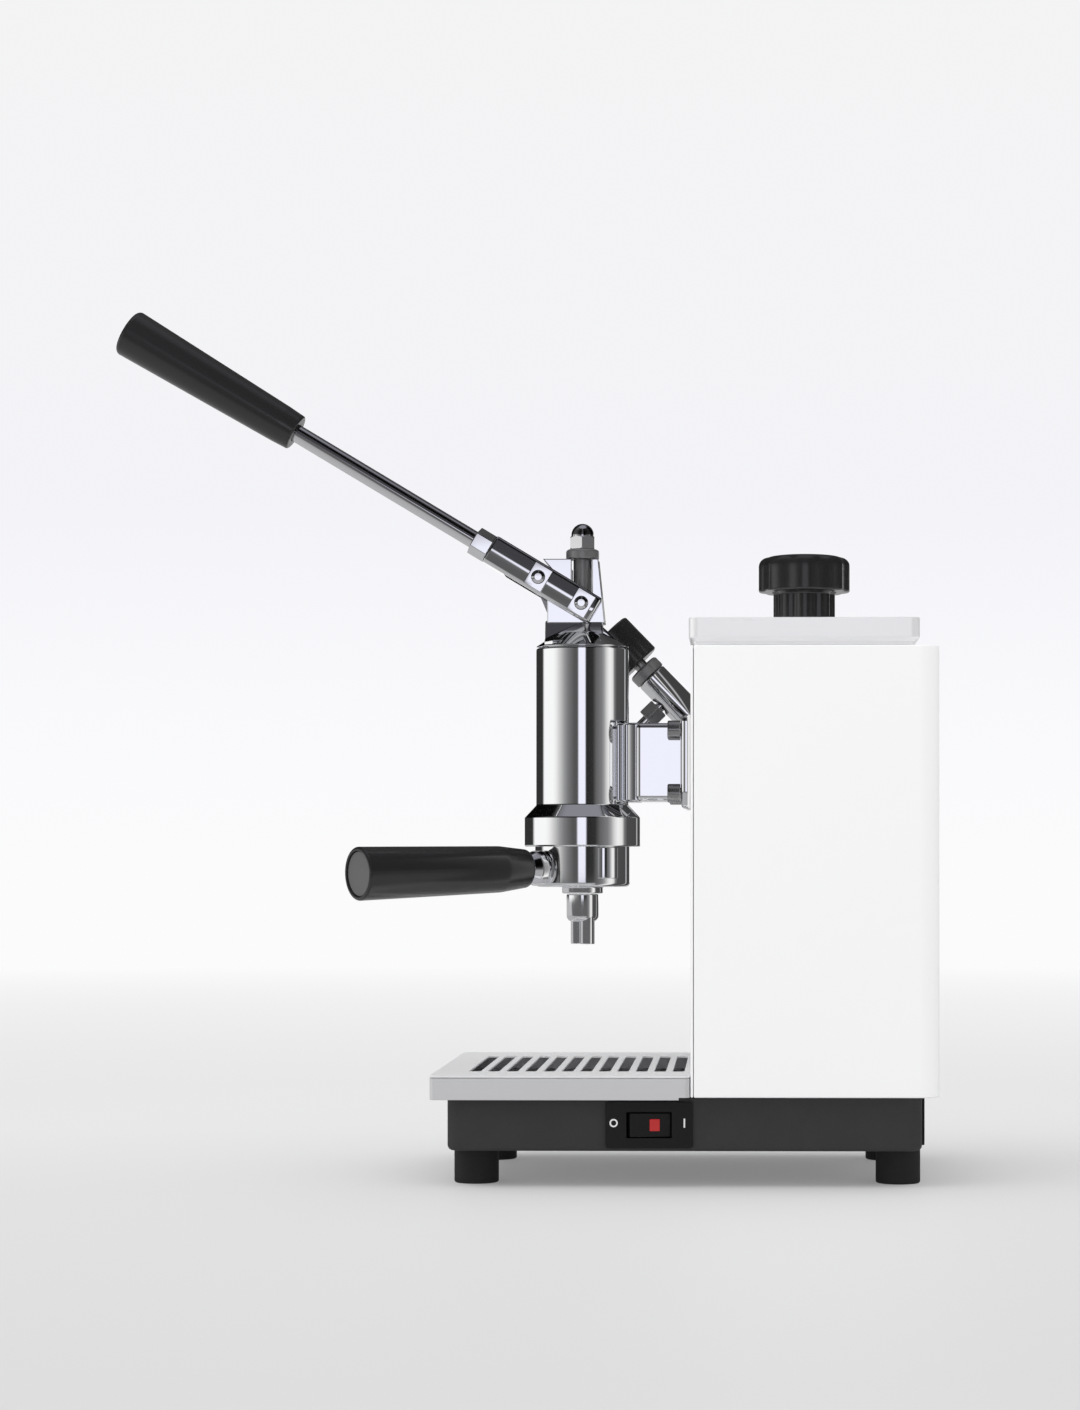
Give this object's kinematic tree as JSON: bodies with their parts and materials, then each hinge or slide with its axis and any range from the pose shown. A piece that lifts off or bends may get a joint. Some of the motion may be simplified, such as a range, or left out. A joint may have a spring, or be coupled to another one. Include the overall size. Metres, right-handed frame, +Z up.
{
  "type": "lever espresso machine",
  "caption": "Hand-lever espresso machine: boiler housing, chromed brewing group with fork lever, portafilter, steam wand and slotted drip tray on a low base.",
  "frame": {"origin": "on the table, under the middle of the machine's overall box at rest", "axes": "+Z up, -Y to the front where the lever and tray are, +X to the side with the switch"},
  "size_m": [0.2, 0.456, 0.4814],
  "materials": {
    "white_paint": "satin white stove enamel",
    "dark_paint": "fine-textured anthracite paint",
    "chrome": "polished chrome plate",
    "brushed_steel": "brushed stainless steel",
    "brass": "plain machined brass",
    "black_plastic": "satin black phenolic",
    "black_switch": "black moulded plastic",
    "rubber": "matt black rubber",
    "seal_rubber": "brown seal rubber",
    "red_lamp": "clear red lens"
  },
  "bodies": {
    "chassis": {"acorn_nut": "chrome", "base_pan": "dark_paint", "boiler": "brass", "boiler_saddle": "brushed_steel", "cup_tray": "brushed_steel", "flange_bolt_1": "brushed_steel", "flange_bolt_2": "brushed_steel", "flange_bolt_3": "brushed_steel", "flange_bolt_4": "brushed_steel", "foot_1": "rubber", "foot_2": "rubber", "foot_3": "rubber", "foot_4": "rubber", "front_panel": "white_paint", "fulcrum_pin": "brushed_steel", "group_casting": "chrome", "group_gasket": "rubber", "hanger": "brushed_steel", "heating_element": "brushed_steel", "housing_shell": "white_paint", "lever_bracket": "chrome", "lock_nut": "chrome", "mains_inlet": "black_switch", "packing_nut": "chrome", "pressure_switch": "black_switch", "safety_valve": "brass", "shower_screen": "brushed_steel", "steam_pipe": "brass", "steam_valve": "chrome", "switch_bezel": "black_switch"},
    "lever": {"drive_pin": "brushed_steel", "lever_ferrule": "chrome", "lever_fork": "chrome", "lever_handle": "black_plastic", "lever_rod": "chrome"},
    "connecting_rod": {"connecting_rod": "brushed_steel"},
    "piston": {"piston": "brass", "piston_seal_lower": "seal_rubber", "piston_seal_upper": "seal_rubber", "wrist_pin": "brushed_steel"},
    "portafilter": {"filter_basket": "brushed_steel", "handle_stud": "brushed_steel", "portafilter_body": "chrome", "portafilter_handle": "black_plastic", "twin_spout": "chrome"},
    "steam_knob": {"steam_knob": "black_plastic", "steam_stem": "brushed_steel"},
    "steam_wand": {"steam_wand": "chrome", "wand_nut": "chrome", "wand_tip": "chrome"},
    "cap_gasket": {"cap_gasket": "rubber"},
    "boiler_cap": {"boiler_cap_knob": "black_plastic", "boiler_cap_plug": "brass"},
    "drip_tray": {"drip_tray": "brushed_steel"},
    "drip_grille": {"drip_grille": "brushed_steel"},
    "switch_rocker": {"switch_lamp": "red_lamp", "switch_rocker": "black_switch"}
  },
  "joints": [
    {"name": "lever_swing", "type": "hinge", "parent": "chassis", "child": "lever", "pos_m": [0, 0.0341, 0.3168], "axis": [-1, 0, 0], "range_deg": [-56, 8]},
    {"name": "connecting_rod_swing", "type": "hinge", "parent": "lever", "child": "connecting_rod", "pos_m": [0, 0.01011, 0.33124], "axis": [-1, 0, 0], "range_deg": [-8, 53]},
    {"name": "piston_stroke", "type": "slide", "parent": "chassis", "child": "piston", "axis": [0, 0, 1], "range_m": [-0.0248, 0.0037]},
    {"name": "portafilter_turn", "type": "hinge", "parent": "chassis", "child": "portafilter", "pos_m": [0, 0.0341, 0.1588], "axis": [0, 0, -1], "range_deg": [0, 40]},
    {"name": "steam_knob_turn", "type": "hinge", "parent": "chassis", "child": "steam_knob", "pos_m": [-0.05, 0.0963, 0.254], "axis": [0, -0.6972, 0.7169], "range_deg": [0, 540]},
    {"name": "steam_wand_swivel", "type": "hinge", "parent": "chassis", "child": "steam_wand", "pos_m": [-0.05, 0.08235, 0.26834], "axis": [0, 0.7169, 0.6972], "range_deg": [-5, 60]},
    {"name": "boiler_cap_lift", "type": "slide", "parent": "chassis", "child": "cap_gasket", "axis": [0, 0, 1], "range_m": [0, 0.0079]},
    {"name": "boiler_cap_turn", "type": "hinge", "parent": "cap_gasket", "child": "boiler_cap", "pos_m": [0, 0.1584, 0.2975], "axis": [0, 0, 1], "range_deg": [0, 1440]},
    {"name": "drip_tray_lift", "type": "slide", "parent": "chassis", "child": "drip_tray", "axis": [0, 0, 1], "range_m": [0, 0.04]},
    {"name": "drip_grille_lift", "type": "slide", "parent": "drip_tray", "child": "drip_grille", "axis": [0, 0, 1], "range_m": [0, 0.02]},
    {"name": "switch_rock", "type": "hinge", "parent": "chassis", "child": "switch_rocker", "pos_m": [0.0896, 0.07429, 0.0334], "axis": [0, 0, -1], "range_deg": [0, 14]}
  ],
  "couplings": [
    {"joint": "connecting_rod_swing", "follows": "lever_swing", "ratio": -0.93},
    {"joint": "piston_stroke", "follows": "lever_swing", "m_per_rad": 0.0252},
    {"joint": "boiler_cap_turn", "follows": "boiler_cap_lift", "rad_per_m": 3141.6}
  ]
}
